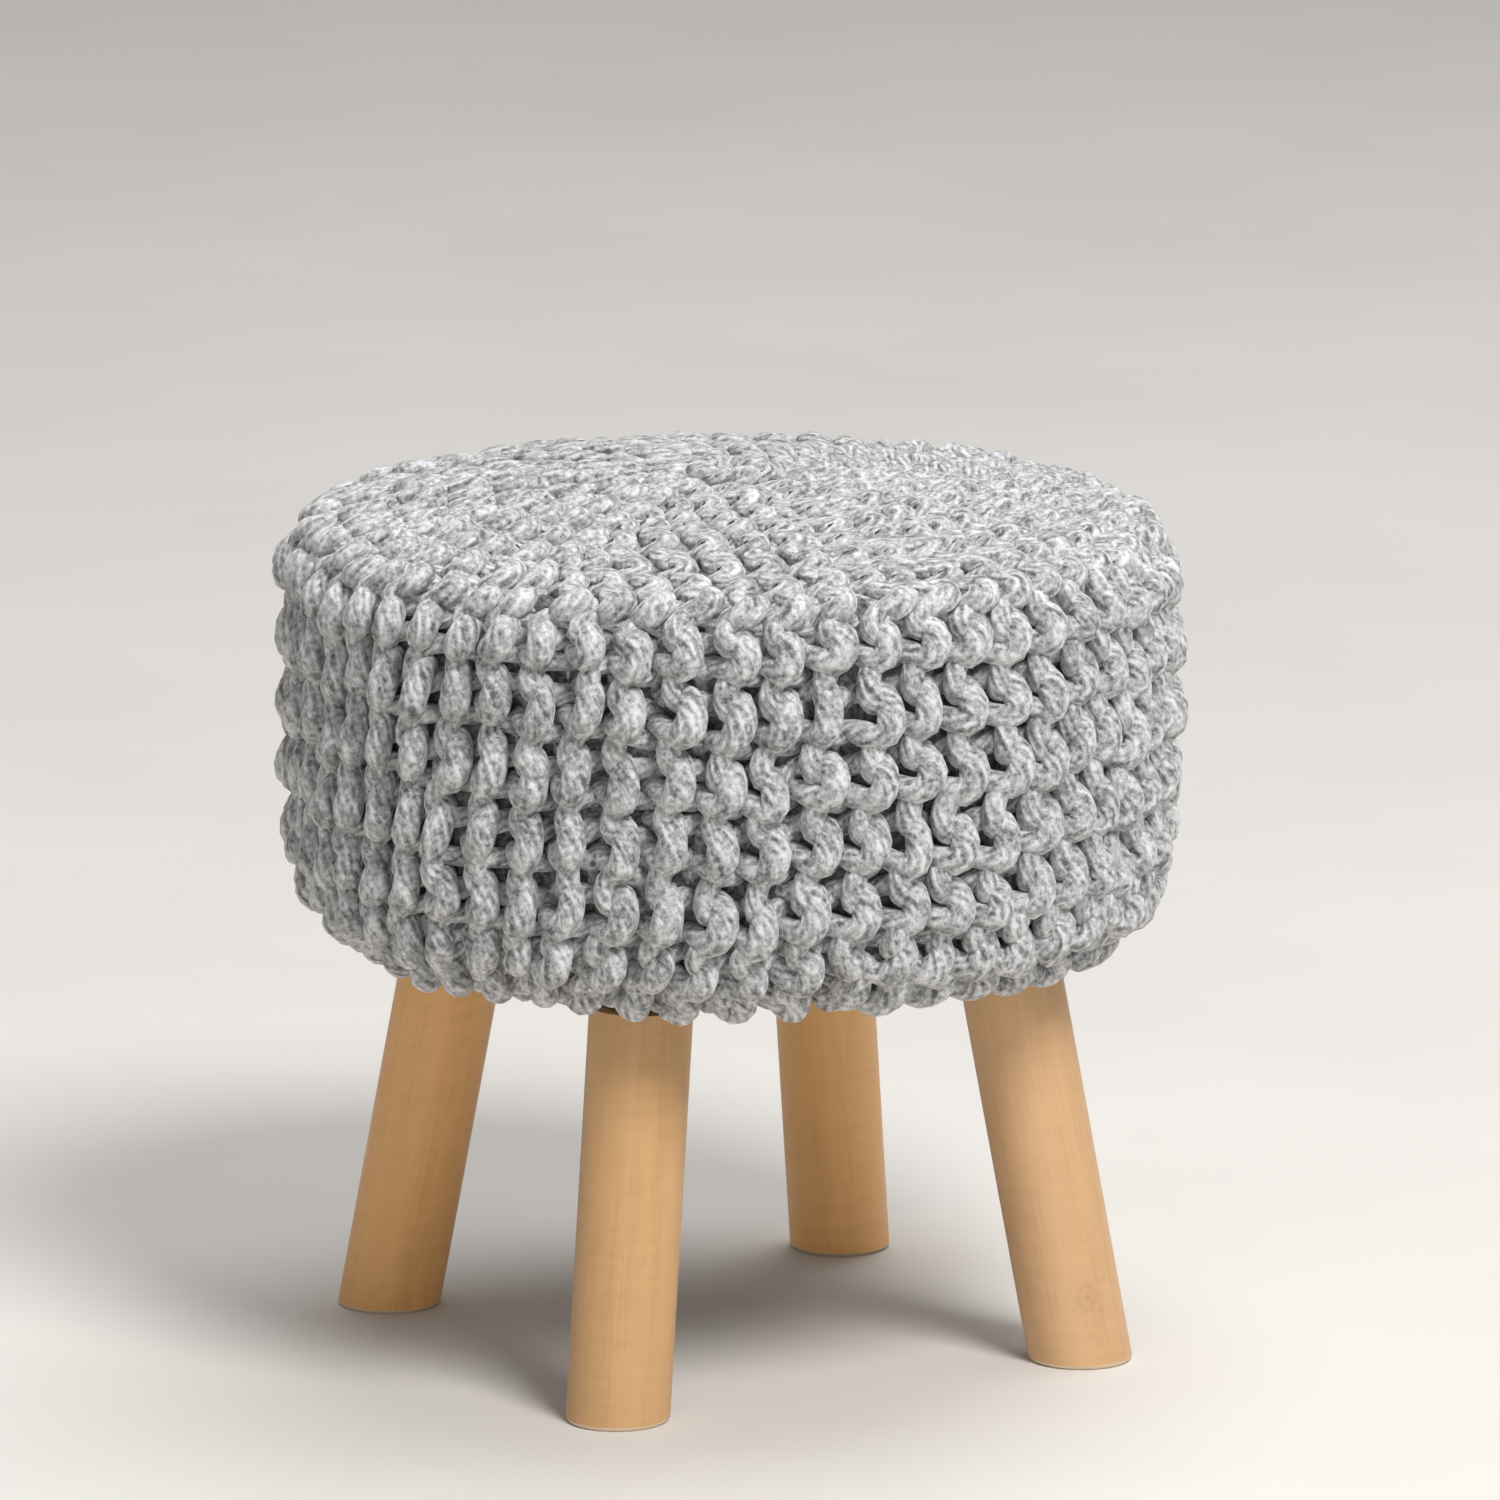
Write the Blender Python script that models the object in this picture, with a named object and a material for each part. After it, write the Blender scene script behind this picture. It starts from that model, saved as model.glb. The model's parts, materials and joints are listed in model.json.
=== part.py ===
"""A knitted pouf stool: a filled, ribbed knitted seat on four splayed round wooden legs.

Metres, +Z up. The origin is on the floor, under the middle of the seat.
"""

import math

import bmesh
import bpy

# Seat, measured over the crests of the knitted ribs
SEAT_RADIUS = 0.180
UNDERSIDE_HEIGHT = 0.1595
CROWN_HEIGHT = 0.3535           # top of the seat, at its middle
CROWN_RISE = 0.0155             # how far the middle stands above the top edge's shoulder
SIDE_BULGE = 0.001              # how far the side swells between its two edges
TOP_EDGE = (0.026, 0.033)       # reach inwards and drop of the rounded top edge
BOTTOM_EDGE = (0.043, 0.043)    # reach inwards and rise of the rounded bottom edge

# Knit: eight wedges of short rows, their ribs parallel to one side of each wedge
WEDGES = 8
RIBS_PER_WEDGE = 7
COLUMNS_PER_RIB = 4
RIB_DEPTH = 0.0055
SEAM_TURN = math.radians(-10.0)  # the direction of the first wedge's seam
GATHER_RADIUS = 0.024            # inside it the ribs run together into the gathered middle
TOP_RINGS = 12
TOP_EDGE_RINGS = 5
SIDE_RINGS = 3
BOTTOM_EDGE_RINGS = 5

# Legs
LEG_RADIUS = 0.0204
LEG_SIDES = 32
LEG_FOOT_REACH = 0.1455         # from the middle of the floor to the middle of a foot
LEG_TOP_REACH = 0.1148          # from the middle of the seat to the leg's axis at the underside
FOOT_CHAMFER = 0.0015
FOOT_CHAMFER_STEPS = 2
CLEARANCE = 0.0003              # between a leg's top and the seat
LEG_DIRECTIONS = {
    "leg_back_right": math.radians(45.0),
    "leg_back_left": math.radians(135.0),
    "leg_front_left": math.radians(225.0),
    "leg_front_right": math.radians(315.0),
}

SMOOTH_ANGLE = math.radians(50.0)


def clear_scene():
    for thing in list(bpy.data.objects):
        bpy.data.objects.remove(thing, do_unlink=True)


def make_material(name, colour, roughness, sheen=0.0):
    material = bpy.data.materials.new(name)
    material.use_nodes = True
    shader = material.node_tree.nodes["Principled BSDF"]
    shader.inputs["Base Color"].default_value = (*colour, 1.0)
    shader.inputs["Roughness"].default_value = roughness
    shader.inputs["Metallic"].default_value = 0.0
    shader.inputs["Sheen Weight"].default_value = sheen
    return material


def make_object(name, mesh, material, collection):
    if not mesh.materials:
        mesh.materials.append(material)
    thing = bpy.data.objects.new(name, mesh)
    collection.objects.link(thing)
    return thing


def finish_mesh(bm, name):
    bmesh.ops.recalc_face_normals(bm, faces=bm.faces)
    mesh = bpy.data.meshes.new(name)
    bm.to_mesh(mesh)
    bm.free()
    mesh.shade_smooth()
    mesh.set_sharp_from_angle(angle=SMOOTH_ANGLE)
    return mesh


# ---- The knitted seat ----

def seat_profile():
    """The seat's outline from the crown to the flat underside.

    Each row is radius, height, and the outward normal's radial and vertical parts.
    """
    rim = SEAT_RADIUS - SIDE_BULGE
    top_reach, top_drop = TOP_EDGE
    bottom_reach, bottom_rise = BOTTOM_EDGE
    shoulder = rim - top_reach
    side_top = CROWN_HEIGHT - CROWN_RISE - top_drop
    side_bottom = UNDERSIDE_HEIGHT + bottom_rise
    rows = []
    for step in range(1, TOP_RINGS + 1):
        share = step / TOP_RINGS
        radius = shoulder * share
        slope = 2.0 * CROWN_RISE * share / shoulder
        rows.append((radius, CROWN_HEIGHT - CROWN_RISE * share**2, slope, 1.0))
    for step in range(1, TOP_EDGE_RINGS + 1):
        angle = 0.5 * math.pi * step / TOP_EDGE_RINGS
        radius = shoulder + top_reach * math.sin(angle)
        height = side_top + top_drop * math.cos(angle)
        rows.append((radius, height, math.sin(angle) / top_reach, math.cos(angle) / top_drop))
    for step in range(1, SIDE_RINGS + 1):
        share = step / SIDE_RINGS
        swell = 4.0 * SIDE_BULGE * share * (1.0 - share)
        rows.append((rim + swell, side_top + (side_bottom - side_top) * share, 1.0, 0.0))
    for step in range(1, BOTTOM_EDGE_RINGS + 1):
        angle = 0.5 * math.pi * step / BOTTOM_EDGE_RINGS
        radius = rim - bottom_reach + bottom_reach * math.cos(angle)
        height = side_bottom - bottom_rise * math.sin(angle)
        rows.append((radius, height, math.cos(angle) / bottom_reach, -math.sin(angle) / bottom_rise))
    return rows


def smooth_step(value, low, high):
    share = min(max((value - low) / (high - low), 0.0), 1.0)
    return share * share * (3.0 - 2.0 * share)


def rib_valley(column):
    """1 in the valley between two ribs and 0 on a crest."""
    return 0.5 + 0.5 * math.cos(2.0 * math.pi * column / COLUMNS_PER_RIB)


def make_ring(bm, radius, height, out, up):
    """One ring of points round the seat, as a list of points for each wedge.

    A wedge holds as many columns as fit its width at this radius, so its later ribs end on the next
    wedge's seam as the seat narrows. The relief is cut inwards along the outline's normal. It dies
    out at the gathered middle and where the underside turns flat.
    """
    full = RIBS_PER_WEDGE * COLUMNS_PER_RIB
    columns = max(2, round(full * radius / SEAT_RADIUS))
    length = math.hypot(out, up)
    out, up = out / length, up / length
    depth = RIB_DEPTH * smooth_step(radius, 0.0, GATHER_RADIUS) * smooth_step(up, -1.0, -0.55)
    wedge_angle = 2.0 * math.pi / WEDGES
    wedges = []
    for wedge in range(WEDGES):
        points = []
        for column in range(columns):
            turn = SEAM_TURN - wedge_angle * (wedge + column / columns)
            inset = depth * rib_valley(column)
            reach = radius - inset * out
            place = (reach * math.cos(turn), reach * math.sin(turn), height - inset * up)
            points.append(bm.verts.new(place))
        wedges.append(points)
    for wedge in range(WEDGES):
        wedges[wedge].append(wedges[(wedge + 1) % WEDGES][0])
    return wedges


def join_rows(bm, narrow, wide):
    """Faces between two rows of points; the wider row's spare columns fan from the other's end."""
    for column in range(len(narrow) - 1):
        bm.faces.new((narrow[column], narrow[column + 1], wide[column + 1], wide[column]))
    for column in range(len(narrow) - 1, len(wide) - 1):
        bm.faces.new((narrow[-1], wide[column + 1], wide[column]))


def make_seat(material, collection):
    bm = bmesh.new()
    rings = [make_ring(bm, *row) for row in seat_profile()]
    crown = bm.verts.new((0.0, 0.0, CROWN_HEIGHT))
    for wedge in rings[0]:
        for first, second in zip(wedge, wedge[1:]):
            bm.faces.new((crown, first, second))
    for upper, lower in zip(rings, rings[1:]):
        for first, second in zip(upper, lower):
            narrow, wide = sorted((first, second), key=len)
            join_rows(bm, narrow, wide)
    bm.faces.new([point for wedge in rings[-1] for point in wedge[:-1]])
    mesh = finish_mesh(bm, "knitted_cover")
    return make_object("knitted_cover", mesh, material, collection)


# ---- The legs ----

def leg_mesh():
    """A round leg that leans towards -X, with its foot's middle at the origin.

    It starts as a cylinder on the leaning axis, and each end ring slides along that axis onto its
    level plane.
    """
    lean = (LEG_TOP_REACH - LEG_FOOT_REACH) / UNDERSIDE_HEIGHT
    upright = 1.0 / math.hypot(lean, 1.0)
    top = UNDERSIDE_HEIGHT - CLEARANCE
    bm = bmesh.new()
    bmesh.ops.create_cone(
        bm,
        cap_ends=True,
        segments=LEG_SIDES,
        radius1=LEG_RADIUS,
        radius2=LEG_RADIUS,
        depth=top,
    )
    for point in bm.verts:
        level = 0.0 if point.co.z < 0.0 else top
        across = point.co.x / upright
        point.co = (across + lean * level, point.co.y, level)
    foot_rim = [
        edge for edge in bm.edges
        if all(abs(point.co.z) < 1e-6 for point in edge.verts)
    ]
    bmesh.ops.bevel(
        bm,
        geom=foot_rim,
        offset=FOOT_CHAMFER,
        offset_type="OFFSET",
        segments=FOOT_CHAMFER_STEPS,
        profile=0.5,
        affect="EDGES",
    )
    return finish_mesh(bm, "leg")


def make_legs(material, collection):
    mesh = leg_mesh()
    frame = bpy.data.objects.new("legs", None)
    collection.objects.link(frame)
    for name, direction in LEG_DIRECTIONS.items():
        leg = make_object(name, mesh, material, collection)
        leg.parent = frame
        leg.location = (
            LEG_FOOT_REACH * math.cos(direction),
            LEG_FOOT_REACH * math.sin(direction),
            0.0,
        )
        leg.rotation_euler = (0.0, 0.0, direction)


def main():
    clear_scene()
    collection = bpy.data.collections.new("knitted_pouf_stool")
    bpy.context.scene.collection.children.link(collection)
    yarn = make_material("grey_marl_yarn", (0.40, 0.40, 0.41), 0.9, sheen=0.3)
    wood = make_material("pale_oiled_wood", (0.66, 0.42, 0.20), 0.45)
    make_seat(yarn, collection)
    make_legs(wood, collection)


main()
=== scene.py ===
import json
import math

import bpy
import numpy as np
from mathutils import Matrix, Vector


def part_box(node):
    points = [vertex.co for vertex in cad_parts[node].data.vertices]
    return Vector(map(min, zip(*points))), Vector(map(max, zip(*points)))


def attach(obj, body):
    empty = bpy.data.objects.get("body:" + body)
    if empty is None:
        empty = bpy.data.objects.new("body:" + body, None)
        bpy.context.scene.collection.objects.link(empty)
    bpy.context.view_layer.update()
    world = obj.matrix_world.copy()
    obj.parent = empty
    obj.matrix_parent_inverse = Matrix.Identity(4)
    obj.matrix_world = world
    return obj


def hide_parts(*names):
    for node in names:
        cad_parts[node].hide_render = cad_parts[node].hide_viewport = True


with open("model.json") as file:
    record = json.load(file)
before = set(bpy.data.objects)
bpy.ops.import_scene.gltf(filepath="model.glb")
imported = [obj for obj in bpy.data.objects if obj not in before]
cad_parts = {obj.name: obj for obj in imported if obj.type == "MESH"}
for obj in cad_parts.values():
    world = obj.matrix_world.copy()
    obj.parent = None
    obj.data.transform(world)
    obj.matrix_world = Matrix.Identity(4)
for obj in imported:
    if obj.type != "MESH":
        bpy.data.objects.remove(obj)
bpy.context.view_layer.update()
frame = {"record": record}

coverLow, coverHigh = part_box("knitted_cover")

# All lengths are metres, and all angles radians unless a name says otherwise

camera = {
    "azimuthDegrees": -27.28,
    "elevationDegrees": 11.92,
    "distance": 5.0,
    "aimHeight": 0.2374,
    "aimRight": 0.0073,
    "lens": 302.4,
    "clip": (0.1, 60.0),
}


def standBack(name, data, aim, azimuthDegrees, elevationDegrees, distance):
    # Puts a camera or lamp at a distance from `aim`, looking at it. Azimuth 0 is on the -Y side, and
    # it grows towards +X.
    azimuth, elevation = math.radians(azimuthDegrees), math.radians(elevationDegrees)
    back = Vector((
        math.sin(azimuth) * math.cos(elevation),
        -math.cos(azimuth) * math.cos(elevation),
        math.sin(elevation),
    ))
    thing = bpy.data.objects.new(name, data)
    thing.location = aim + back * distance
    thing.rotation_mode = "QUATERNION"
    thing.rotation_quaternion = (-back).to_track_quat("-Z", "Y")
    bpy.context.scene.collection.objects.link(thing)
    return thing


def makeCamera():
    # Aimed at a point on the stool's axis, moved a little to the picture's right
    azimuth = math.radians(camera["azimuthDegrees"])
    right = Vector((math.cos(azimuth), math.sin(azimuth), 0.0))
    aim = Vector((0.0, 0.0, camera["aimHeight"])) + right * camera["aimRight"]
    data = bpy.data.cameras.new("viewCamera")
    data.lens = camera["lens"]
    data.clip_start, data.clip_end = camera["clip"]
    view = (camera["azimuthDegrees"], camera["elevationDegrees"], camera["distance"])
    bpy.context.scene.camera = standBack("viewCamera", data, aim, *view)


makeCamera()


def between(pair, share):
    return pair[0] + (pair[1] - pair[0]) * share


def eased(share):
    # From 0 to 1 along a cubic that is level at both ends
    return share * share * (3.0 - 2.0 * share)


def softNoise(points, wavelength, seed):
    # A sum of sine waves in random directions through space, mostly between -1 and 1
    draw = np.random.default_rng(seed)
    waves = 9
    total = np.zeros(len(points))
    for _ in range(waves):
        direction = draw.normal(size=3)
        direction *= 2.0 * math.pi / (wavelength * np.linalg.norm(direction))
        total += np.sin(points @ direction + draw.uniform(0.0, 2.0 * math.pi))
    return total / math.sqrt(waves)


def makeMesh(name, points, faces, material, uvs=None):
    mesh = bpy.data.meshes.new(name)
    mesh.from_pydata(points.tolist(), [], faces)
    if uvs is not None:
        layer = mesh.uv_layers.new(name="yarnMap")
        layer.data.foreach_set("uv", uvs.astype(np.float32).ravel())
    mesh.shade_smooth()
    mesh.materials.append(material)
    mesh.update()
    thing = bpy.data.objects.new(name, mesh)
    bpy.context.scene.collection.objects.link(thing)
    return thing


# The seat's surface, which the knit lies on. "out" and "up" are the parts of its outward normal.

seatShape = {
    "crownRise": 0.0165,             # how far the middle stands above the top edge
    "sideBulge": 0.001,
    "topEdge": (0.026, 0.033),       # reach inwards, drop
    "topFullness": 2.25,             # the top edge's power: 2 is an ellipse, more is squarer
    "bottomEdge": (0.043, 0.043),    # reach inwards, rise
    "stretchSteps": 90,              # points on each stretch of the outline
    "outlineStep": 0.001,
    "easing": 15,                    # steps over which the outward direction is evened out
    "sideFrom": 0.5,                 # "out" from which a place is on the side
    "topFrom": 0.35,                 # "up" from which the side's knit turns into the top's
    "topBlend": 0.62,                # and how much more of it makes it all the top's
    "unevenness": 0.0012,            # how far soft noise moves the surface out and in
    "unevenWavelength": 0.22,
    "unevenSeed": 2225,
}


def seatOutline():
    # The meridian from crown to underside: a parabola, a quarter superellipse, a bowed side, a quarter
    # ellipse and a level run to the middle, read again at even steps of its own length. The normal is
    # its slope turned a quarter round and averaged over a few steps.
    rim = (coverHigh.x - coverLow.x) / 2 - seatShape["sideBulge"]
    topReach, topDrop = seatShape["topEdge"]
    bottomReach, bottomRise = seatShape["bottomEdge"]
    shoulder = rim - topReach
    sideTop = coverHigh.z - seatShape["crownRise"] - topDrop
    sideBottom = coverLow.z + bottomRise
    share = np.linspace(0.0, 1.0, seatShape["stretchSteps"])
    quarter = 0.5 * math.pi * share
    bow = 4.0 * seatShape["sideBulge"] * share * (1.0 - share)
    power = 2.0 / seatShape["topFullness"]
    parts = [
        (shoulder * share, coverHigh.z - seatShape["crownRise"] * share**2),
        (
            shoulder + topReach * np.sin(quarter) ** power,
            sideTop + topDrop * np.clip(np.cos(quarter), 0.0, 1.0) ** power,
        ),
        (rim + bow, sideTop + (sideBottom - sideTop) * share),
        (rim - bottomReach * (1.0 - np.cos(quarter)), sideBottom - bottomRise * np.sin(quarter)),
        ((rim - bottomReach) * (1.0 - share), np.full_like(share, coverLow.z)),
    ]
    radius = np.concatenate([part[0] for part in parts])
    height = np.concatenate([part[1] for part in parts])
    step = np.hypot(np.diff(radius), np.diff(height))
    length = np.concatenate([[0.0], np.cumsum(step)])
    along = np.arange(0.0, length[-1], seatShape["outlineStep"])
    radius = np.interp(along, length, radius)
    height = np.interp(along, length, height)
    window = np.ones(seatShape["easing"]) / seatShape["easing"]
    margin = seatShape["easing"] // 2
    out = np.convolve(np.pad(-np.gradient(height), margin, mode="edge"), window, "valid")
    up = np.convolve(np.pad(np.gradient(radius), margin, mode="edge"), window, "valid")
    size = np.hypot(out, up)
    side = along[out / size > seatShape["sideFrom"]]
    return {
        "along": along,
        "radius": radius,
        "height": height,
        "out": out / size,
        "up": up / size,
        "shoulder": side[0],
        "sideLength": side[-1] - side[0],
    }


outline = seatOutline()


def outlineAt(along, key):
    return np.interp(along, outline["along"], outline[key])


swell = {
    "pressure": 1.0,
    "mass": 0.05,
    "frames": 20,
    "cap": 0.004,            # how far a point may move
    "kept": 0.70,            # the share kept of what the top rises more than the side
    "gathered": 0.016,       # radius of the gathered middle, which is held
    "level": 0.97,           # the part of the normal from which a place is level, or upright
    "inset": 0.008,          # from the axis to the first row, along the meridian
    "rows": 46,
    "columns": 96,
}

swellAlong = np.linspace(swell["inset"], outline["along"][-1] - swell["inset"], swell["rows"])
swellGrid = np.zeros((swell["rows"], swell["columns"]))


def swellAt(along, turn):
    # The grid read between its points. Lengths run in rows, and turns in columns and round again.
    step = swellAlong[1] - swellAlong[0]
    lastRow = swell["rows"] - 1.001     # just short of the last row, so that one more always follows
    row = np.clip((along - swellAlong[0]) / step, 0.0, lastRow)
    column = turn / (2.0 * math.pi) * swell["columns"]
    upper, left = row.astype(int), np.floor(column).astype(int)
    rowShare, columnShare = row - upper, column - left
    left, right = left % swell["columns"], (left + 1) % swell["columns"]
    above = between((swellGrid[upper, left], swellGrid[upper, right]), columnShare)
    below = between((swellGrid[upper + 1, left], swellGrid[upper + 1, right]), columnShare)
    return between((above, below), rowShare)


def onSeat(along, turn, lift):
    # Points at a meridian length, turned about the axis, lifted off the surface along its normal
    radius, height, out, up = (outlineAt(along, key) for key in ("radius", "height", "out", "up"))
    base = np.stack([radius * np.cos(turn), radius * np.sin(turn), height], -1)
    normal = np.stack([out * np.cos(turn), out * np.sin(turn), up], -1)
    noise = softNoise(base, seatShape["unevenWavelength"], seatShape["unevenSeed"])
    lift = lift + seatShape["unevenness"] * noise + swellAt(along, turn)
    return base + lift[:, None] * normal, normal


def topShare(along):
    # 0 on the side and underside, easing to 1 where the top is nearly level
    share = (outlineAt(along, "up") - seatShape["topFrom"]) / seatShape["topBlend"]
    return eased(np.clip(share, 0.0, 1.0))


def closedGrid(rows, columns):
    # The faces of a grid of points round an axis, from its top down, whose first and last rows close on
    # two more points
    row = np.arange(rows - 1)[:, None] * columns
    column = np.arange(columns)[None, :]
    beyond = (column + 1) % columns
    sides = np.stack([row + column, row + columns + column, row + columns + beyond, row + beyond], -1)
    column, beyond = column[0], beyond[0]
    first, last = np.full(columns, rows * columns), np.full(columns, rows * columns + 1)
    tail = (rows - 1) * columns
    ends = [np.stack([first, column, beyond], -1), np.stack([last, tail + beyond, tail + column], -1)]
    return sides.reshape(-1, 4).tolist() + np.concatenate(ends).tolist()


def onSeatGrid(along, columns, lift):
    # Points of the whole seat for closedGrid, with one on the axis at either end
    turn = np.linspace(0.0, 2.0 * math.pi, columns, endpoint=False)
    alongGrid, turnGrid = (part.ravel() for part in np.meshgrid(along, turn, indexing="ij"))
    points, normals = onSeat(alongGrid, turnGrid, lift(alongGrid, turnGrid))
    poles = np.array([0.0, outline["along"][-1]])
    ends, _ = onSeat(poles, np.zeros(2), lift(poles, np.zeros(2)))
    ends[:, :2] = 0.0
    return np.concatenate([points, ends]), normals


def swellCover():
    # The cover's plain surface blown up as cloth by its filling, and held at the gathered middle and
    # where the underside is level. Gives how far each point moves outwards, less its row's mean,
    # because the outline was measured on the filled seat, plus a share of the top's extra rise.
    points, normals = onSeatGrid(swellAlong, swell["columns"], lambda along, turn: np.zeros(len(along)))
    mesh = bpy.data.meshes.new("filledCover")
    mesh.from_pydata(points.tolist(), [], closedGrid(swell["rows"], swell["columns"]))
    cover = bpy.data.objects.new("filledCover", mesh)
    bpy.context.scene.collection.objects.link(cover)
    radius = np.hypot(points[:, 0], points[:, 1])
    up = np.append(normals[:, 2], [1.0, -1.0])
    held = np.flatnonzero((up < -swell["level"]) | (radius < swell["gathered"]) & (up > 0.0))
    cover.vertex_groups.new(name="held").add(held.tolist(), 1.0, "REPLACE")
    cloth = cover.modifiers.new("filling", "CLOTH")
    cloth.settings.vertex_group_mass = "held"
    cloth.settings.use_pressure = True
    cloth.settings.uniform_pressure_force = swell["pressure"]
    cloth.settings.mass = swell["mass"]
    cloth.settings.effector_weights.gravity = 0.0
    cloth.collision_settings.use_collision = False
    scene = bpy.context.scene
    for number in range(1, swell["frames"] + 1):
        scene.frame_set(number)
    swollen = cover.evaluated_get(bpy.context.evaluated_depsgraph_get()).data
    moved = np.empty(len(points) * 3)
    swollen.vertices.foreach_get("co", moved)
    outwards = ((moved.reshape(-1, 3) - points)[:-2] * normals).sum(-1)
    outwards = np.clip(outwards, -swell["cap"], swell["cap"]).reshape(swellGrid.shape)
    bpy.data.objects.remove(cover, do_unlink=True)
    bpy.data.meshes.remove(mesh)
    scene.frame_set(1)
    rowMean = outwards.mean(1)
    sideMean = rowMean[outlineAt(swellAlong, "out") > swell["level"]].mean()
    moves = 1000.0 * sideMean, 1000.0 * rowMean.max()
    print("cover filled, its side moved {:.2f} mm and its top {:.2f} mm".format(*moves))
    extra = swell["kept"] * np.maximum(rowMean - sideMean, 0.0)
    return outwards + (extra - rowMean)[:, None]


swellGrid = swellCover()


# Shader helpers: each adds a node and gives the output that the next one reads

def newMaterial(name):
    material = bpy.data.materials.new(name)
    material.use_nodes = True
    nodes = material.node_tree.nodes
    return material, nodes, material.node_tree.links, nodes["Principled BSDF"]


def addMath(nodes, links, operation, first, second=None, third=None):
    node = nodes.new("ShaderNodeMath")
    node.operation = operation
    for socket, value in zip(node.inputs, (first, second, third)):
        if value is None:
            continue
        if isinstance(value, (int, float)):
            socket.default_value = value
        else:
            links.new(value, socket)
    return node.outputs[0]


def addRamp(nodes, links, source, stops):
    node = nodes.new("ShaderNodeValToRGB")
    ramp = node.color_ramp
    while len(ramp.elements) < len(stops):
        ramp.elements.new(0.5)
    for element, (place, colour) in zip(ramp.elements, stops):
        element.position = place
        element.color = (*colour, 1.0)
    links.new(source, node.inputs["Fac"])
    return node.outputs["Color"]


def addNoise(nodes, links, vector, scale, detail, roughness):
    node = nodes.new("ShaderNodeTexNoise")
    node.inputs["Scale"].default_value = scale
    node.inputs["Detail"].default_value = detail
    node.inputs["Roughness"].default_value = roughness
    links.new(vector, node.inputs["Vector"])
    return node.outputs["Fac"]


def multiplyColour(nodes, links, first, second):
    node = nodes.new("ShaderNodeVectorMath")
    node.operation = "MULTIPLY"
    links.new(first, node.inputs[0])
    links.new(second, node.inputs[1])
    return node.outputs["Vector"]


def addGroup(nodes, group):
    node = nodes.new("ShaderNodeGroup")
    node.node_tree = group
    return node


def addBump(nodes, links, height, strength, distance, shader):
    node = nodes.new("ShaderNodeBump")
    node.inputs["Strength"].default_value = strength
    node.inputs["Distance"].default_value = distance
    links.new(height, node.inputs["Height"])
    links.new(node.outputs["Normal"], shader.inputs["Normal"])


fibres = {
    "fuzz": (430.0, 2.0, 0.6),     # the loose fibres' noise: frequency, detail, roughness
    "patch": (90.0, 1.0, 0.5),     # and that of the paler and darker lengths of yarn
    "patchStrength": 0.18,
}


def makeFibreGroup():
    # Loose fibres as fine noise through space, plus a broad, weaker one about its own middle. Used by
    # the yarn and by what shows between its loops.
    group = bpy.data.node_groups.new("looseFibres", "ShaderNodeTree")
    group.interface.new_socket("Mottle", in_out="OUTPUT", socket_type="NodeSocketFloat")
    nodes, links = group.nodes, group.links
    place = nodes.new("ShaderNodeTexCoord").outputs["Object"]
    fine = addNoise(nodes, links, place, *fibres["fuzz"])
    broad = addNoise(nodes, links, place, *fibres["patch"])
    strength = fibres["patchStrength"]
    weak = addMath(nodes, links, "MULTIPLY_ADD", broad, strength, -0.5 * strength)
    mottle = addMath(nodes, links, "ADD", fine, weak)
    links.new(mottle, nodes.new("NodeGroupOutput").inputs["Mottle"])
    return group


yarnFinish = {
    "strands": 7,              # fine strands round the yarn
    "twist": 150.0,            # radians of twist for each metre of yarn
    "flecks": (290.0, 2.0, 0.55),   # frequency across the strands, detail, roughness
    "fleckAlong": 0.50,        # and how much lower the frequency is along them
    "fleckShare": 0.5,         # the flecks' share of the mottle, against the loose fibres'
    "strandShade": 0.024,      # painted shade: how much darker the colour is made in the grooves between strands
    "strandRelief": 0.17,      # and how deep
    # places on the mottle's range, and the fibres' colours there: dark, middle and light
    "tones": (
        (0.345, (0.108, 0.111, 0.115)),
        (0.480, (0.366, 0.372, 0.381)),
        (0.615, (0.663, 0.674, 0.688)),
    ),
    "bump": (0.8, 0.0014),     # strength, distance
    "roughness": 0.92,
    "sheen": 0.4,
    "sheenRoughness": 0.5,
    "specular": 0.25,
}


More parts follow.
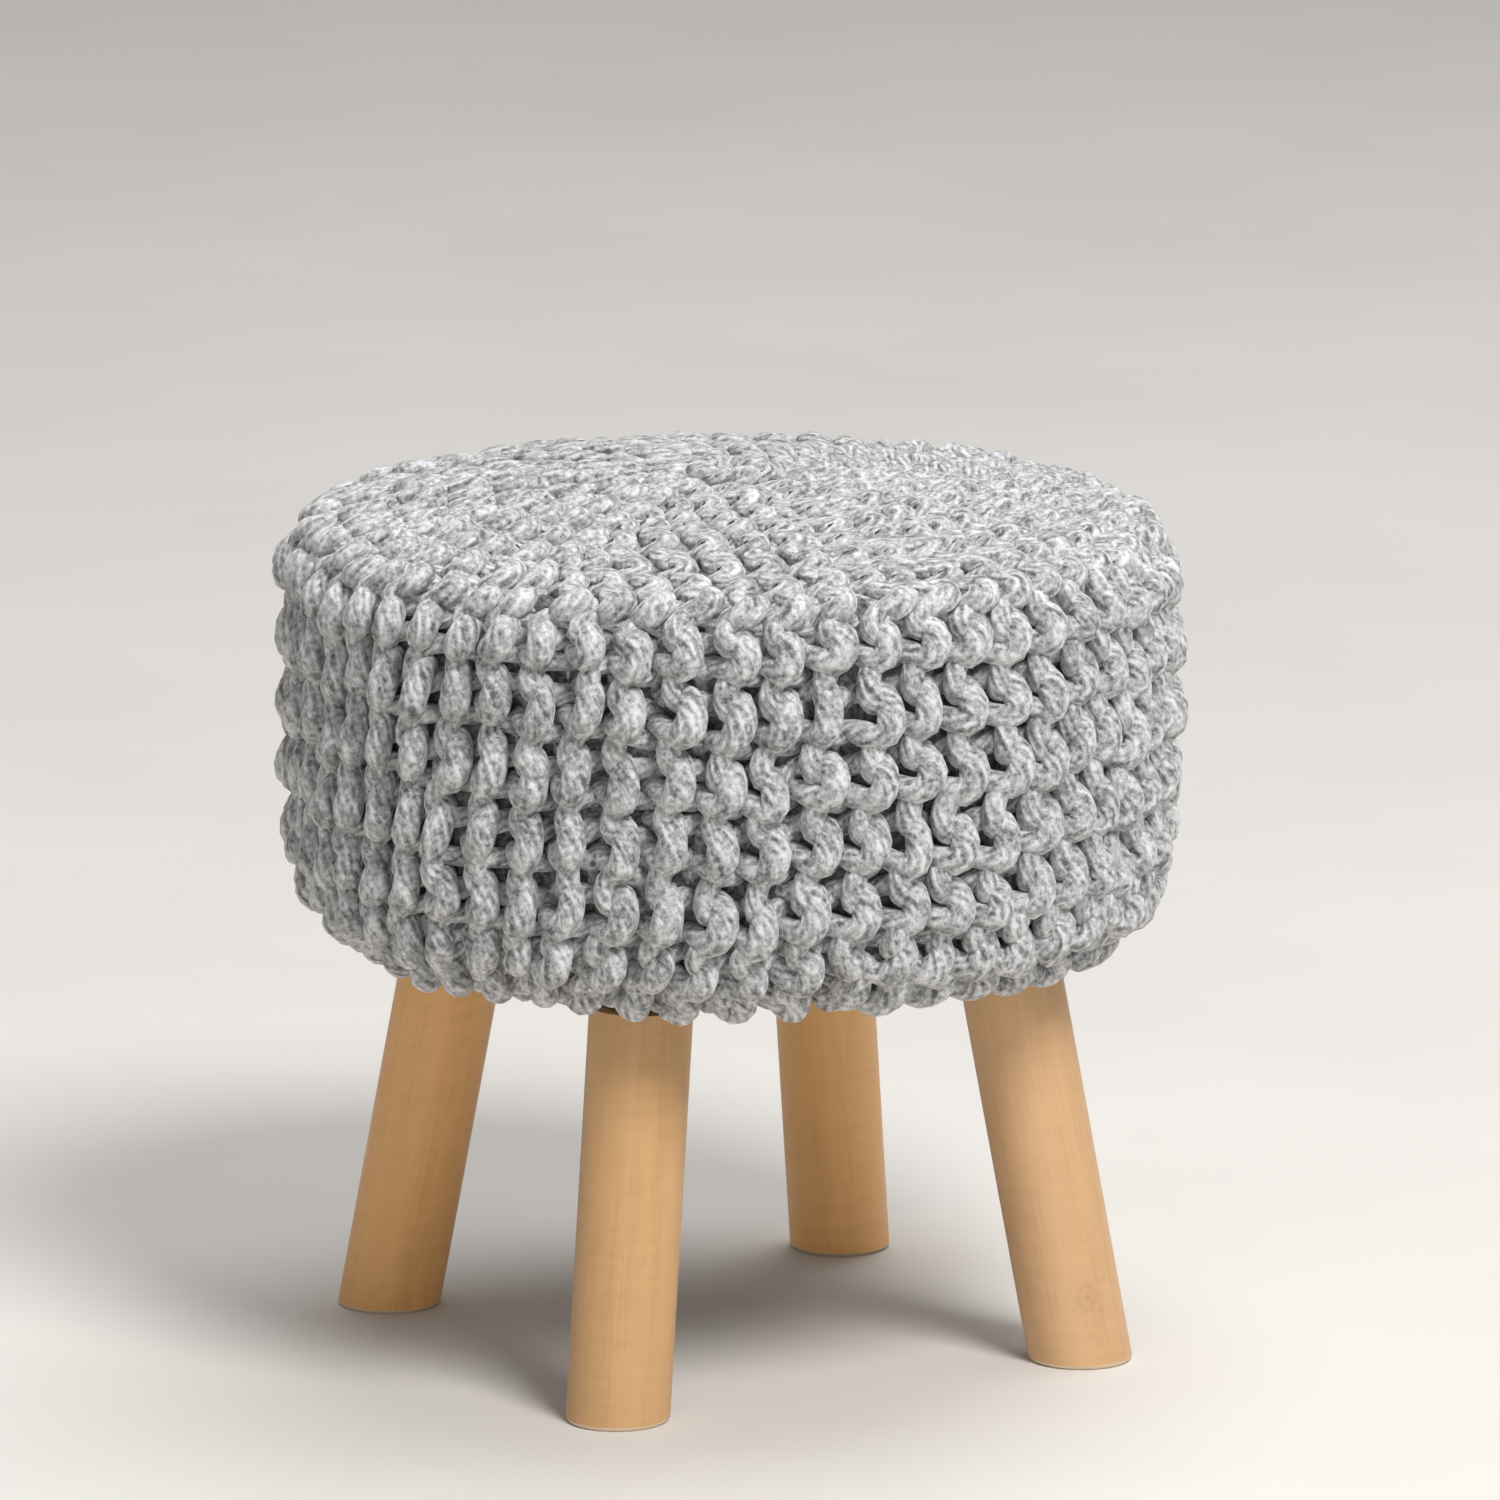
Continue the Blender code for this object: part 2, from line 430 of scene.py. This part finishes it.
def makeYarnMaterial(looseFibres):
    # The map gives metres along the yarn and turns round it. Both are wound onto a twisted cylinder,
    # so flecks and strands run slantwise round the yarn and meet themselves without a seam. A cosine
    # of that angle makes the strands' relief and darkens the colour in their grooves as painted shade,
    # and loose fibres mottle the yarn evenly in all directions.
    material, nodes, links, shader = newMaterial("greyMarlYarn")
    uv = nodes.new("ShaderNodeUVMap")
    uv.uv_map = "yarnMap"
    split = nodes.new("ShaderNodeSeparateXYZ")
    links.new(uv.outputs["UV"], split.inputs[0])
    wound = addMath(nodes, links, "MULTIPLY", split.outputs["X"], yarnFinish["twist"])
    angle = addMath(nodes, links, "MULTIPLY_ADD", split.outputs["Y"], 2.0 * math.pi, wound)
    radius = knit["bumpRadius"][1]
    across = addMath(nodes, links, "MULTIPLY", addMath(nodes, links, "COSINE", angle), radius)
    around = addMath(nodes, links, "MULTIPLY", addMath(nodes, links, "SINE", angle), radius)
    lengthwise = addMath(nodes, links, "MULTIPLY", split.outputs["X"], yarnFinish["fleckAlong"])
    cylinder = nodes.new("ShaderNodeCombineXYZ")
    for part, socket in zip((across, around, lengthwise), cylinder.inputs):
        links.new(part, socket)
    flecks = addNoise(nodes, links, cylinder.outputs[0], *yarnFinish["flecks"])
    fuzz = addGroup(nodes, looseFibres).outputs["Mottle"]
    share = yarnFinish["fleckShare"]
    flecked = addMath(nodes, links, "MULTIPLY", flecks, share)
    mixed = addMath(nodes, links, "MULTIPLY_ADD", fuzz, 1.0 - share, flecked)
    strandAngle = addMath(nodes, links, "MULTIPLY", angle, yarnFinish["strands"])
    strand = addMath(nodes, links, "COSINE", strandAngle)
    # painted shade: the strands' cosine darkens the colour in the grooves between them
    shade = addMath(nodes, links, "MULTIPLY_ADD", strand, yarnFinish["strandShade"], mixed)
    colour = addRamp(nodes, links, shade, yarnFinish["tones"])
    links.new(colour, shader.inputs["Base Color"])
    height = addMath(nodes, links, "MULTIPLY_ADD", strand, yarnFinish["strandRelief"], mixed)
    addBump(nodes, links, height, *yarnFinish["bump"], shader)
    shader.inputs["Roughness"].default_value = yarnFinish["roughness"]
    shader.inputs["Sheen Weight"].default_value = yarnFinish["sheen"]
    shader.inputs["Sheen Roughness"].default_value = yarnFinish["sheenRoughness"]
    shader.inputs["Specular IOR Level"].default_value = yarnFinish["specular"]
    return material


# The knit: wedges of garter stitch, each rib one closed loop of yarn. Pairs of values are for the side
# and for the top, unless they say otherwise.

knit = {
    "wedges": 8,
    "ribs": 7,                   # in each wedge
    "seamTurn": math.radians(-10.0),
    "stitch": (0.0265, 0.0200),  # one stitch, measured along a rib
    "rowShare": (1.0, 0.84),     # the height of a row, against rowHeight
    "bumpRadius": (0.0050, 0.0058),   # the slack yarn at the front, of the row of heads and of feet
    "legRadius": 0.0040,         # and the tight yarn of the legs and back
    "flatness": (0.96, 0.72),    # how round the yarn stays
    "loopReach": ((0.78, 0.70), (0.86, 0.76)),   # how far heads and feet reach, in row heights
    "loopRise": (0.68, 1.10),    # how far heads and feet come forward, in depths
    "loopDepth": (0.0078, 0.0030),    # how far the yarn swings to the front and back
    "pressed": (0.0, 0.40),      # how much the front of the loops is levelled
    "lift": (0.0005, -0.0017),   # how far the front bumps stand over the seat's surface
    "waist": 0.135,              # how far the loop's legs lean together, in stitches
    "legSpread": 0.05,           # how much further its legs stand from their own head
    "footSwell": 0.10,           # how much wider the feet are at the front, and the heads narrower
    "overlap": ((0.0, 0.0), (0.34, 0.16)),   # how far heads and feet lie over the next, in depths
    "droop": 0.14,               # how much thicker each front bump is at its lower end
    "lean": 0.09,                # sideways drift of the ribs down the side, for each metre down
    "skew": -0.13,               # how far the row of feet sits down the rib, in stitches
    "tightest": 0.42,            # the share of its width that a rib keeps where it ends on a seam
    "drawnYarn": (0.7, 1.0),     # the yarn's thickness in a rib of no width and of full width
    "drawnDepth": (0.5, 1.0),    # and the loops' depth
    "stepsPerStitch": 20,
    "turnSteps": 8,              # points on the half circle at a row's end
    "turnBulge": 0.5,            # and how far that stands out, in row heights
    "sides": 12,                 # of the yarn
    "jitter": (0.13, 0.08),      # how uneven the loops' reach is
    "jitterPlace": 0.35,         # and their place, against that
    "jitterDepth": 0.5,          # and their depth
    "shift": 0.07,               # how far the ribs' stitches are off each other's level, in stitches
    "wander": 0.0012,            # how far the yarn strays, by soft noise
    "wanderLength": 0.05,
    "slub": 0.07,                # how much the yarn's thickness varies
    "slubLength": 0.011,
    "slubSeed": 30,
    "wanderSeed": 20,
    "wedgeSeeds": 100,           # from one wedge's first seed to the next's
    "mapShift": 0.37,            # metres of yarn between one rib's flecks and the next's
}

wedgeAngle = 2.0 * math.pi / knit["wedges"]
rowHeight = (coverHigh.x - coverLow.x) / 2 * wedgeAngle / (2 * knit["ribs"])

# At each step of the outline, the stitches from the crown to there and the height of a row. Stitches
# and rows are smaller on the top.
outlineTop = topShare(outline["along"])
stitchCount = np.cumsum(seatShape["outlineStep"] / between(knit["stitch"], outlineTop))
rowHere = rowHeight * between(knit["rowShare"], outlineTop)


def ribEnds(rib):
    # The first and last foot of a rib, in stitches, where the wedge is wide enough to hold it. Feet lie
    # at half stitches.
    room = outline["radius"] * wedgeAngle
    wide = stitchCount[room >= (2 * rib + 2 * knit["tightest"]) * rowHere]
    return math.floor(wide[0] - 0.25) + 0.5, math.floor(wide[-1] - 0.25) + 0.5


def unevenly(count, draw):
    # A random value for each half stitch, eased from one to the next
    low = math.floor(count.min()) - 1.0
    half = (count - low) * 2.0
    values = draw.normal(size=int(half.max()) + 3)
    share = eased(half % 1.0)
    step = half.astype(int)
    return values[step] * (1.0 - share) + values[step + 1] * share


def loopRow(count, side, shift, draw):
    # One row of a rib's loops at stitch counts `count`, with heads at whole counts and feet halfway.
    # side is 0 for the row whose heads are in front and 1 for the row whose feet are.
    # The yarn swings across by a cosine, and forward by the same cosine, levelled by a cubic. Along the
    # rib, a double-speed sine leans each loop's legs together, and a single one spreads them and, at
    # the front, narrows the heads and widens the feet. Sines also bring the front bumps' lower ends
    # forward and thicken them.
    # Gives metres along the meridian, row heights across, depths forward, and the yarn's radius.
    facing = 1.0 if side == 0 else -1.0
    top = np.interp(count, stitchCount, outlineTop)
    loose = between(knit["jitter"], top)
    angle = 2.0 * math.pi * count
    swing = np.cos(angle)
    front = 0.5 + 0.5 * facing * swing
    lengthwise = count + shift + knit["waist"] * np.sin(2.0 * angle) + knit["skew"] * side
    lengthwise += (knit["legSpread"] - knit["footSwell"] * front) * np.sin(angle)
    lengthwise += knit["jitterPlace"] * loose * unevenly(count, draw)
    reach = between(knit["loopReach"][side], top) * (1.0 + loose * unevenly(count, draw))
    middle = 0.5 + side
    across = middle + reach * swing + knit["jitterPlace"] * loose * unevenly(count, draw)
    rise = 1.0 + (knit["loopRise"][side] - 1.0) * front
    levelled = swing * (1.0 + between(knit["pressed"], top) * (1.0 - swing**2))
    forward = facing * rise * (levelled + between(knit["overlap"][side], top) * np.sin(angle))
    forward *= 1.0 + knit["jitterDepth"] * loose * unevenly(count, draw)
    along = np.interp(lengthwise, stitchCount, outline["along"])
    radius = between((knit["legRadius"], knit["bumpRadius"][side]), front**2)
    radius *= 1.0 + knit["droop"] * facing * front * np.sin(angle)
    return np.stack([along, across, forward, radius])


def turnBack(start, end, bulge):
    # A half circle between two row ends, bulging lengthwise by `bulge`
    swing = np.linspace(0.0, math.pi, knit["turnSteps"] + 2)[1:-1]
    share = 0.5 - 0.5 * np.cos(swing)
    path = start[:, None] + (end - start)[:, None] * share
    path[0] += bulge * np.sin(swing)
    return path


def seamDrift(along):
    # How far the ribs and seams have drifted sideways, in proportion to the way down the side
    return knit["lean"] * np.clip(along - outline["shoulder"], 0.0, outline["sideLength"])


def ribPath(wedge, rib):
    # Up one row, round, down the next and round again, then laid on the seat with its front bumps on
    # the seat's surface. Where the wedge is too narrow for the whole rib, the rib is drawn together
    # towards its inner side. The yarn stays above the level underside.
    draw = np.random.default_rng(knit["wedgeSeeds"] * wedge + rib)
    first, last = ribEnds(rib)
    steps = int(round((last - first) * knit["stepsPerStitch"]))
    count = np.linspace(first, last, steps + 1)
    shift = knit["shift"] * draw.normal()
    rising = loopRow(count[::-1], 0, shift, draw)
    falling = loopRow(count, 1, shift, draw)
    bulge = knit["turnBulge"] * rowHeight
    topTurn = turnBack(rising[:, -1], falling[:, 0], -bulge)
    bottomTurn = turnBack(falling[:, -1], rising[:, 0], bulge)
    along, across, forward, thickness = np.concatenate([rising, topTurn, falling, bottomTurn], axis=1)
    radius = outlineAt(along, "radius")
    row = np.interp(along, outline["along"], rowHere)
    top = topShare(along)
    flat = between(knit["flatness"], top)
    share = np.clip(radius * wedgeAngle / (2 * row) - rib, knit["tightest"], 1.0)
    arc = (2 * rib + across * share) * row + seamDrift(along)
    turn = knit["seamTurn"] - wedgeAngle * wedge - arc / radius
    forward = forward * between(knit["drawnDepth"], share) - knit["loopRise"][1]
    lift = between(knit["loopDepth"], top) * forward - flat * knit["bumpRadius"][1]
    lift += between(knit["lift"], top)
    points, normals = onSeat(along, turn, lift)
    thickness *= between(knit["drawnYarn"], share)
    thickness *= 1.0 + knit["slub"] * softNoise(points, knit["slubLength"], knit["slubSeed"])
    stray = [softNoise(points, knit["wanderLength"], knit["wanderSeed"] + axis) for axis in range(3)]
    points += knit["wander"] * np.stack(stray, -1)
    points[:, 2] = np.maximum(points[:, 2], coverLow.z + thickness)
    return points, normals, thickness, flat


def closedTube(points, normals, thickness, flat):
    # An oval of points round each point of a closed path, square to the path: `thickness` to each side
    # and `flat` times that towards the seat's normal. The map holds metres along the yarn and turns
    # round it.
    sides = knit["sides"]
    ahead = np.roll(points, -1, 0) - np.roll(points, 1, 0)
    ahead /= np.linalg.norm(ahead, axis=1)[:, None]
    beside = np.cross(ahead, normals)
    beside /= np.linalg.norm(beside, axis=1)[:, None]
    above = np.cross(beside, ahead)
    around = np.linspace(0.0, 2.0 * math.pi, sides, endpoint=False)
    ring = np.sin(around)[None, :, None] * beside[:, None]
    ring += np.cos(around)[None, :, None] * (above * flat[:, None])[:, None]
    shell = points[:, None] + thickness[:, None, None] * ring
    rows = np.arange(len(points))[:, None]
    after = (rows + 1) % len(points)
    columns = np.arange(sides)[None, :]
    beyond = (columns + 1) % sides
    faces = np.stack([
        rows * sides + columns,
        rows * sides + beyond,
        after * sides + beyond,
        after * sides + columns,
    ], -1).reshape(-1, 4)
    span = np.linalg.norm(np.diff(points, axis=0, append=points[:1]), axis=1)
    length = np.concatenate([[0.0], np.cumsum(span)])
    near, far, low = np.broadcast_arrays(length[:-1, None], length[1:, None], columns / sides)
    high = low + 1.0 / sides
    corners = ((near, low), (near, high), (far, high), (far, low))
    uvs = np.stack([np.stack(corner, -1) for corner in corners], 2).reshape(-1, 2)
    return shell.reshape(-1, 3), faces, uvs


def makeYarnPiece(name, tubes, firstTube, mapShift, material):
    # Joins tubes of yarn into one piece of the cover. Each tube's map starts `mapShift` further along
    # than the last one's, so neighbours don't show the same flecks.
    points, faces, uvs = [], [], []
    base = 0
    for number, (shell, quads, places) in enumerate(tubes, firstTube):
        points.append(shell)
        faces.append(quads + base)
        uvs.append(places + [mapShift * number, 0.0])
        base += len(shell)
    faces = np.concatenate(faces).tolist()
    thing = makeMesh(name, np.concatenate(points), faces, material, np.concatenate(uvs))
    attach(thing, "root")
    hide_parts("knitted_cover")
    return thing


def makeWedge(wedge, material):
    tubes = [closedTube(*ribPath(wedge, rib)) for rib in range(knit["ribs"])]
    name = f"knitWedge{wedge + 1}"
    return makeYarnPiece(name, tubes, wedge * knit["ribs"], knit["mapShift"], material)


gather = {
    # for each round of yarn: radius, lobes, how far it weaves in and out, depth under the surface
    "rounds": (
        (0.0052, 4, 0.0012, 0.0062),
        (0.0125, 8, 0.0026, 0.0045),
    ),
    "weave": 0.7,                # how far it weaves up and down, against in and out
    "thickness": 0.0038,
    "flatness": 0.9,
    "steps": 160,
    "mapShift": 0.61,            # metres of yarn between the rounds' flecks
}


def makeGather(name, middle, facing, material):
    # The middle of the top or underside, drawn together: closed rounds of yarn, weaving in and out by
    # a cosine and up and down by a sine of the same number of lobes
    steps = gather["steps"]
    turn = np.linspace(0.0, 2.0 * math.pi, steps, endpoint=False)
    normals = np.tile([0.0, 0.0, facing], (steps, 1))
    thickness, flat = np.full(steps, gather["thickness"]), np.full(steps, gather["flatness"])
    tubes = []
    for middleRadius, lobes, swing, sink in gather["rounds"]:
        radius = middleRadius + swing * np.cos(lobes * turn)
        height = middle + facing * (gather["weave"] * swing * np.sin(lobes * turn) - sink)
        path = np.stack([radius * np.cos(turn), radius * np.sin(turn), height], -1)
        tubes.append(closedTube(path, normals, thickness, flat))
    makeYarnPiece(name, tubes, 0, gather["mapShift"], material)


# The seat's form under the knit, which shows between its loops, coloured dark grey as painted shade for
# the gaps

inside = {
    "depth": (0.0165, 0.0080),   # under the seat's surface, on the side and on the top
    "ribRelief": 0.0016,
    "plainWithin": 2.0,          # row heights from the axis within which it has no ribs
    "columns": 336,
    "rows": 150,
    # places on the loose fibres' range, and the colours there, kept dark as painted shade in the gaps
    "tones": ((0.35, (0.045, 0.046, 0.047)), (0.65, (0.22, 0.223, 0.228))),
    "roughness": 0.95,
}


def makeGapShadeMaterial(looseFibres):
    # The same fibres on a dark grey, painted shade for the gaps between the loops
    material, nodes, links, shader = newMaterial("knitShade")
    mottle = addGroup(nodes, looseFibres).outputs["Mottle"]
    links.new(addRamp(nodes, links, mottle, inside["tones"]), shader.inputs["Base Color"])
    shader.inputs["Roughness"].default_value = inside["roughness"]
    return material


def insideLift(along, turn):
    # Set in by the knit's depth and raised by a cosine under each rib, counted in row heights of arc
    # from its wedge's drifting seam
    radius = np.maximum(outlineAt(along, "radius"), 0.0001)    # above 0, to divide by
    row = np.interp(along, outline["along"], rowHere)
    fromSeam = (knit["seamTurn"] - turn - seamDrift(along) / radius) % wedgeAngle
    ridge = -np.cos(math.pi * fromSeam * radius / row)
    ridge *= np.clip(radius / row - inside["plainWithin"], 0.0, 1.0)
    return inside["ribRelief"] * ridge - between(inside["depth"], topShare(along))


def makeInside(material):
    along = np.linspace(0.0, outline["along"][-1], inside["rows"] + 2)[1:-1]
    points, _ = onSeatGrid(along, inside["columns"], insideLift)
    thing = makeMesh("seatInside", points, closedGrid(inside["rows"], inside["columns"]), material)
    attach(thing, "root")
    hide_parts("knitted_cover")


fibreGroup = makeFibreGroup()
yarn = makeYarnMaterial(fibreGroup)
wedges = [makeWedge(wedge, yarn) for wedge in range(knit["wedges"])]
print("knit made,", sum(len(wedge.data.polygons) for wedge in wedges) * 2, "triangles")
makeGather("gatherTop", coverHigh.z, 1.0, yarn)
makeGather("gatherUnder", coverLow.z, -1.0, yarn)
makeInside(makeGapShadeMaterial(fibreGroup))
print("seat's inside made")


leg = {
    "radius": 0.0204,
    "topReach": 0.1148,          # from the middle of the seat to the leg's axis at the underside
    "clearance": 0.0003,         # under the seat
    "chamfer": 0.0015,
    "chamferTurn": (0.0006, 0.4),     # the chamfer's middle ring: its height, and its inset in chamfers
    "sides": 72,
    "rows": 40,
    "sharpAngle": math.radians(30.0),
    "grainSeed": 50,
    "grainRange": 4.0,           # metres of wood that each leg's grain is picked from
    # the wood of each leg, partly its own tone and partly painted light: the back legs, which stand in
    # the seat's shadow, are made paler and more orange as painted bounce light; and its knot: height,
    # angle round the leg from its outer side, size
    "tones": {
        "leg_front_left": (0.585, 0.345, 0.155),
        "leg_front_right": (0.63, 0.388, 0.200),
        "leg_back_left": (0.78, 0.430, 0.160),
        "leg_back_right": (0.88, 0.500, 0.195),
    },
    "knots": {
        "leg_front_left": (0.065, math.radians(86.0), 0.0012),
        "leg_front_right": (0.029, math.radians(308.0), 0.0055),
    },
    "noKnot": (1.0, 0.0, 0.001),      # one far above the leg, where it doesn't show
    "knotSlimness": 0.75,        # 1 for a round knot, and less for one drawn out along the leg
}

wood = {
    # each pattern's stretch, frequency, detail, and share of the whole
    "grain": {
        "broad": ((1.0, 1.0, 0.045), 60.0, 3.0, 0.55),
        "fine": ((1.0, 1.0, 0.045), 700.0, 3.0, 0.25),
        "figure": ((0.25, 0.25, 1.0), 240.0, 2.0, 0.20),
    },
    "grainRoughness": 0.55,
    # places on the grain's range, and what the leg's tone is multiplied by there
    "shades": (
        (0.36, (0.86, 0.83, 0.78)),
        (0.50, (0.98, 0.98, 0.98)),
        (0.64, (1.05, 1.06, 1.08)),
    ),
    "knotRings": 9.0,            # radians of ring for each knot size outwards
    "knotShade": (0.12, 0.06),   # how much darker the knot is, and how much its rings change that
    "cutReach": 1.1,             # height of the paler band at the foot, in chamfers
    "cutColour": (0.74, 0.60, 0.43),
    "bump": (0.12, 0.0004),      # strength, distance
    "roughness": 0.45,
}


def makeWoodMaterial():
    # Each leg's tone, partly its own wood and partly painted light, times long narrow grain from noise
    # stretched along the leg, a faint figure across it, and a knot: a bell curve of the distance from
    # its middle times a ring cosine. The foot's chamfer is given a paler colour.
    material, nodes, links, shader = newMaterial("paleWood")

    def readVector(name):
        node = nodes.new("ShaderNodeAttribute")
        node.attribute_name = name
        return node.outputs["Vector"]

    noises = {}
    mixed = 0.0
    roughness = wood["grainRoughness"]
    for name, (stretch, frequency, detail, share) in wood["grain"].items():
        node = nodes.new("ShaderNodeMapping")
        node.inputs["Scale"].default_value = stretch
        links.new(readVector("grainSpace"), node.inputs["Vector"])
        noises[name] = addNoise(nodes, links, node.outputs[0], frequency, detail, roughness)
        mixed = addMath(nodes, links, "MULTIPLY_ADD", noises[name], share, mixed)
    shade = addRamp(nodes, links, mixed, wood["shades"])

    space = nodes.new("ShaderNodeVectorMath")
    space.operation = "LENGTH"
    links.new(readVector("knotSpace"), space.inputs[0])
    distance = space.outputs["Value"]
    square = addMath(nodes, links, "MULTIPLY", distance, distance)
    bell = addMath(nodes, links, "EXPONENT", addMath(nodes, links, "MULTIPLY", square, -1.0))
    ringAngle = addMath(nodes, links, "MULTIPLY", distance, wood["knotRings"])
    ring = addMath(nodes, links, "COSINE", ringAngle)
    knotDark, ringDark = wood["knotShade"]
    depth = addMath(nodes, links, "MULTIPLY_ADD", ring, ringDark, knotDark)
    knot = addMath(nodes, links, "MULTIPLY", bell, depth)
    light = addMath(nodes, links, "SUBTRACT", 1.0, knot)
    # painted light: the back legs' tones are lightened and warmed for bounce light in the seat's shadow
    toned = multiplyColour(nodes, links, readVector("woodTone"), shade)
    toned = multiplyColour(nodes, links, toned, light)

    place = nodes.new("ShaderNodeTexCoord")
    split = nodes.new("ShaderNodeSeparateXYZ")
    links.new(place.outputs["Object"], split.inputs[0])
    paleBandHeight = wood["cutReach"] * leg["chamfer"]
    paleBand = addMath(nodes, links, "LESS_THAN", split.outputs["Z"], paleBandHeight)
    mix = nodes.new("ShaderNodeMix")
    mix.data_type = "RGBA"
    links.new(paleBand, mix.inputs["Factor"])
    links.new(toned, mix.inputs[6])    # 6 and 7 are its two colours, and 2 its colour output
    mix.inputs[7].default_value = (*wood["cutColour"], 1.0)
    links.new(mix.outputs[2], shader.inputs["Base Color"])
    addBump(nodes, links, noises["fine"], *wood["bump"], shader)
    shader.inputs["Roughness"].default_value = wood["roughness"]
    return material


def legRings(lean, upright, top):
    # The points of a leg that leans along X, for closedGrid: each level ring is the round bar's section
    # slid along the axis to its height, set in at the foot's chamfer, and the ends' middles follow
    ringHeight, ringInset = leg["chamferTurn"]
    levels = np.concatenate([np.linspace(top, leg["chamfer"], leg["rows"]), [ringHeight, 0.0]])
    radii = np.full(len(levels), leg["radius"])
    radii[-2:] -= [ringInset * leg["chamfer"], leg["chamfer"]]
    around = np.linspace(0.0, 2.0 * math.pi, leg["sides"], endpoint=False)
    across = radii[:, None] * np.cos(around) / upright + lean * levels[:, None]
    beside = radii[:, None] * np.sin(around)
    height = np.broadcast_to(levels[:, None], across.shape)
    rings = np.stack([across, beside, height], -1).reshape(-1, 3)
    middles = [[lean * top, 0.0, top], [0.0, 0.0, 0.0]]
    return np.concatenate([rings, middles]), len(levels)


def makeLeg(node, foot, material, seed):
    # Made leaning along X, then turned and moved to its foot. grainSpace has the leg upright, and
    # knotSpace has the knot's middle at 0 and its size as 1.
    direction = math.atan2(foot[1], foot[0])
    lean = (leg["topReach"] - math.hypot(foot[0], foot[1])) / coverLow.z
    upright = 1.0 / math.hypot(lean, 1.0)
    local, rows = legRings(lean, upright, coverLow.z - leg["clearance"])
    cosine, sine = math.cos(direction), math.sin(direction)
    points = np.stack([
        local[:, 0] * cosine - local[:, 1] * sine,
        local[:, 0] * sine + local[:, 1] * cosine,
        local[:, 2],
    ], -1) + foot
    name = "turned" + "".join(part.capitalize() for part in node.split("_"))
    thing = makeMesh(name, points, closedGrid(rows, leg["sides"]), material)
    grain = local.copy()
    grain[:, 0] -= lean * local[:, 2]
    grain += np.random.default_rng(seed).uniform(0.0, leg["grainRange"], 3)
    height, angle, size = leg["knots"].get(node, leg["noKnot"])
    knotOut = leg["radius"] * math.cos(angle) / upright + lean * height
    knot = np.array([knotOut, leg["radius"] * math.sin(angle), height])
    spaces = {
        "grainSpace": grain,
        "knotSpace": (local - knot) * [1.0, 1.0, leg["knotSlimness"]] / size,
        "woodTone": np.tile(leg["tones"][node], (len(local), 1)),
    }
    for title, values in spaces.items():
        space = thing.data.attributes.new(title, "FLOAT_VECTOR", "POINT")
        space.data.foreach_set("vector", values.astype(np.float32).ravel())
    thing.data.set_sharp_from_angle(angle=leg["sharpAngle"])
    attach(thing, "root")
    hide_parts(node)


paleWood = makeWoodMaterial()
for number, mount in enumerate(frame["record"]["mounts"]):
    node = mount["name"].replace("foot", "leg")
    makeLeg(node, mount["pos_m"], paleWood, leg["grainSeed"] + number)
print("legs made")


studio = {
    "floorSize": 40.0,
    "floorColour": (0.69, 0.665, 0.635),
    "floorMottle": (3.0, 4.0, 0.55),     # frequency, detail, roughness
    "floorMottleDepth": 0.03,            # how much paler and darker it makes the floor
    "floorMottleRange": (0.3, 0.7),
    "floorRoughness": 0.75,
    "worldColour": (1.0, 1.0, 1.0),
    "worldStrength": 0.25,
    "lightAim": (0.0, 0.0, 0.2),
    # name: degrees of azimuth from the camera and of elevation, distance, size, watts, colour
    "lights": {
        "keyLight": (32.0, 50.0, 4.0, 1.5, 141.0, (1.0, 0.99, 0.97)),
        "topLight": (150.0, 72.0, 5.0, 3.6, 145.0, (1.0, 1.0, 1.0)),
        "lowLight": (-12.0, 7.0, 4.0, 1.6, 17.0, (1.0, 0.91, 0.80)),
    },
}


def makeFloor():
    material, nodes, links, shader = newMaterial("paleFloor")
    place = nodes.new("ShaderNodeTexCoord")
    mottle = addNoise(nodes, links, place.outputs["Object"], *studio["floorMottle"])
    depth = studio["floorMottleDepth"]
    factors = (1.0 - depth, 1.0 + depth)
    colours = [tuple(factor * part for part in studio["floorColour"]) for factor in factors]
    colour = addRamp(nodes, links, mottle, list(zip(studio["floorMottleRange"], colours)))
    links.new(colour, shader.inputs["Base Color"])
    shader.inputs["Roughness"].default_value = studio["floorRoughness"]
    half = studio["floorSize"] / 2
    corners = np.array([[-half, -half, 0.0], [half, -half, 0.0], [half, half, 0.0], [-half, half, 0.0]])
    makeMesh("floor", corners, [[0, 1, 2, 3]], material)


def makeLights():
    world = bpy.data.worlds.new("studioWorld")
    world.use_nodes = True
    background = world.node_tree.nodes["Background"]
    background.inputs["Color"].default_value = (*studio["worldColour"], 1.0)
    background.inputs["Strength"].default_value = studio["worldStrength"]
    bpy.context.scene.world = world
    for name, (azimuth, elevation, distance, size, watts, colour) in studio["lights"].items():
        data = bpy.data.lights.new(name, "AREA")
        data.shape = "DISK"
        data.size = size
        data.energy = watts
        data.color = colour
        azimuth += camera["azimuthDegrees"]
        standBack(name, data, Vector(studio["lightAim"]), azimuth, elevation, distance)


makeFloor()
makeLights()
bpy.context.scene.view_settings.view_transform = "Standard"
print("floor and lights made")
